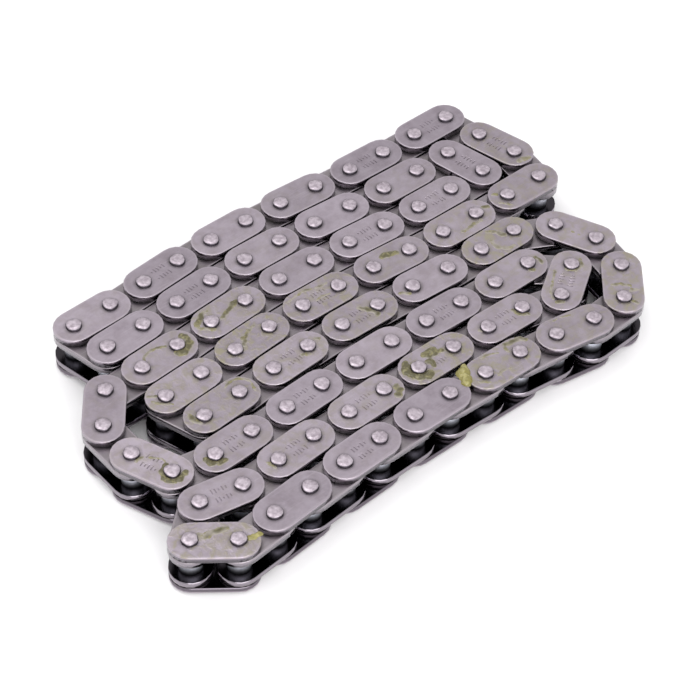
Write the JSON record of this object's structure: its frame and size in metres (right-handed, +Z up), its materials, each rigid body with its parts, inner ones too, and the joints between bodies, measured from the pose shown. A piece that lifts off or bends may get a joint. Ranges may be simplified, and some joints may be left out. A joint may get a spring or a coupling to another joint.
{
  "type": "bush chain",
  "caption": "Endless small-pitch steel bush chain, laid on its side in nested rows, its front strand hinged link by link for drive or timing use.",
  "frame": {"origin": "middle of the laid loop's outline, on the surface that the lower pin ends stand on", "axes": "+X along the laid rows, +Y from the front row to the back row, +Z up along the pins"},
  "size_m": [0.089, 0.0522, 0.0085],
  "materials": {
    "outer_plates": "tumbled, oiled steel",
    "inner_plates": "tumbled, oiled steel",
    "pins": "ground steel with staked ends",
    "bushes": "polished steel"
  },
  "bodies": {
    "laid_rows": {"laid_lower_outer_plates": "outer_plates", "laid_lower_inner_plates": "inner_plates", "laid_bushes": "bushes", "laid_pins": "pins", "laid_upper_inner_plates": "inner_plates", "laid_upper_outer_plates": "outer_plates"},
    "link_01": {"link_01_bushes": "bushes", "link_01_lower_inner_plate": "inner_plates", "link_01_upper_inner_plate": "inner_plates"},
    "link_02": {"link_02_pins": "pins", "link_02_lower_outer_plate": "outer_plates", "link_02_upper_outer_plate": "outer_plates"},
    "link_03": {"link_03_bushes": "bushes", "link_03_lower_inner_plate": "inner_plates", "link_03_upper_inner_plate": "inner_plates"},
    "link_04": {"link_04_pins": "pins", "link_04_lower_outer_plate": "outer_plates", "link_04_upper_outer_plate": "outer_plates"},
    "link_05": {"link_05_bushes": "bushes", "link_05_lower_inner_plate": "inner_plates", "link_05_upper_inner_plate": "inner_plates"},
    "link_06": {"link_06_pins": "pins", "link_06_lower_outer_plate": "outer_plates", "link_06_upper_outer_plate": "outer_plates"},
    "link_07": {"link_07_bushes": "bushes", "link_07_lower_inner_plate": "inner_plates", "link_07_upper_inner_plate": "inner_plates"},
    "link_08": {"link_08_pins": "pins", "link_08_lower_outer_plate": "outer_plates", "link_08_upper_outer_plate": "outer_plates"},
    "link_09": {"link_09_bushes": "bushes", "link_09_lower_inner_plate": "inner_plates", "link_09_upper_inner_plate": "inner_plates"},
    "link_10": {"link_10_pins": "pins", "link_10_lower_outer_plate": "outer_plates", "link_10_upper_outer_plate": "outer_plates"},
    "link_11": {"link_11_bushes": "bushes", "link_11_lower_inner_plate": "inner_plates", "link_11_upper_inner_plate": "inner_plates"},
    "link_12": {"link_12_pins": "pins", "link_12_lower_outer_plate": "outer_plates", "link_12_upper_outer_plate": "outer_plates"},
    "link_13": {"link_13_bushes": "bushes", "link_13_lower_inner_plate": "inner_plates", "link_13_upper_inner_plate": "inner_plates"},
    "link_14": {"link_14_pins": "pins", "link_14_lower_outer_plate": "outer_plates", "link_14_upper_outer_plate": "outer_plates"},
    "link_15": {"link_15_bushes": "bushes", "link_15_lower_inner_plate": "inner_plates", "link_15_upper_inner_plate": "inner_plates"},
    "link_16": {"link_16_pins": "pins", "link_16_lower_outer_plate": "outer_plates", "link_16_upper_outer_plate": "outer_plates"},
    "front_link": {"front_link_bushes": "bushes", "front_link_lower_inner_plate": "inner_plates", "front_link_upper_inner_plate": "inner_plates"}
  },
  "joints": [
    {"name": "link_01_hinge", "type": "hinge", "parent": "laid_rows", "child": "link_01", "pos_m": [0.02994, -0.003, 0.00447], "axis": [0, 0, 1], "range_deg": [0, 24]},
    {"name": "link_02_hinge", "type": "hinge", "parent": "link_01", "child": "link_02", "pos_m": [0.03555, -0.00599, 0.00447], "axis": [0, 0, -1], "range_deg": [-50, 0]},
    {"name": "link_03_hinge", "type": "hinge", "parent": "link_02", "child": "link_03", "pos_m": [0.03823, -0.01174, 0.00447], "axis": [0, 0, 1], "range_deg": [0, 50]},
    {"name": "link_04_hinge", "type": "hinge", "parent": "link_03", "child": "link_04", "pos_m": [0.03724, -0.01801, 0.00447], "axis": [0, 0, -1], "range_deg": [-50, 0]},
    {"name": "link_05_hinge", "type": "hinge", "parent": "link_04", "child": "link_05", "pos_m": [0.03309, -0.02281, 0.00447], "axis": [0, 0, 1], "range_deg": [0, 50]},
    {"name": "link_06_hinge", "type": "hinge", "parent": "link_05", "child": "link_06", "pos_m": [0.02674, -0.02311, 0.00447], "axis": [0, 0, -1], "range_deg": [-50, 0]},
    {"name": "link_07_hinge", "type": "hinge", "parent": "link_06", "child": "link_07", "pos_m": [0.02049, -0.02203, 0.00447], "axis": [0, 0, 1], "range_deg": [0, 50]},
    {"name": "link_08_hinge", "type": "hinge", "parent": "link_07", "child": "link_08", "pos_m": [0.01418, -0.02126, 0.00447], "axis": [0, 0, -1], "range_deg": [-50, 0]},
    {"name": "link_09_hinge", "type": "hinge", "parent": "link_08", "child": "link_09", "pos_m": [0.00784, -0.02107, 0.00447], "axis": [0, 0, 1], "range_deg": [0, 50]},
    {"name": "link_10_hinge", "type": "hinge", "parent": "link_09", "child": "link_10", "pos_m": [0.00149, -0.02079, 0.00447], "axis": [0, 0, -1], "range_deg": [-50, 0]},
    {"name": "link_11_hinge", "type": "hinge", "parent": "link_10", "child": "link_11", "pos_m": [-0.00486, -0.02072, 0.00447], "axis": [0, 0, 1], "range_deg": [0, 50]},
    {"name": "link_12_hinge", "type": "hinge", "parent": "link_11", "child": "link_12", "pos_m": [-0.01121, -0.0208, 0.00447], "axis": [0, 0, -1], "range_deg": [-50, 0]},
    {"name": "link_13_hinge", "type": "hinge", "parent": "link_12", "child": "link_13", "pos_m": [-0.01755, -0.021, 0.00447], "axis": [0, 0, 1], "range_deg": [0, 50]},
    {"name": "link_14_hinge", "type": "hinge", "parent": "link_13", "child": "link_14", "pos_m": [-0.02389, -0.02142, 0.00447], "axis": [0, 0, -1], "range_deg": [-50, 0]},
    {"name": "link_15_hinge", "type": "hinge", "parent": "link_14", "child": "link_15", "pos_m": [-0.03022, -0.02187, 0.00447], "axis": [0, 0, 1], "range_deg": [0, 50]},
    {"name": "link_16_hinge", "type": "hinge", "parent": "link_15", "child": "link_16", "pos_m": [-0.03656, -0.02231, 0.00447], "axis": [0, 0, -1], "range_deg": [-50, 0]},
    {"name": "front_link_hinge", "type": "hinge", "parent": "laid_rows", "child": "front_link", "pos_m": [-0.03675, -0.01426, 0.00447], "axis": [0, 0, 1], "range_deg": [-60, 0]}
  ]
}
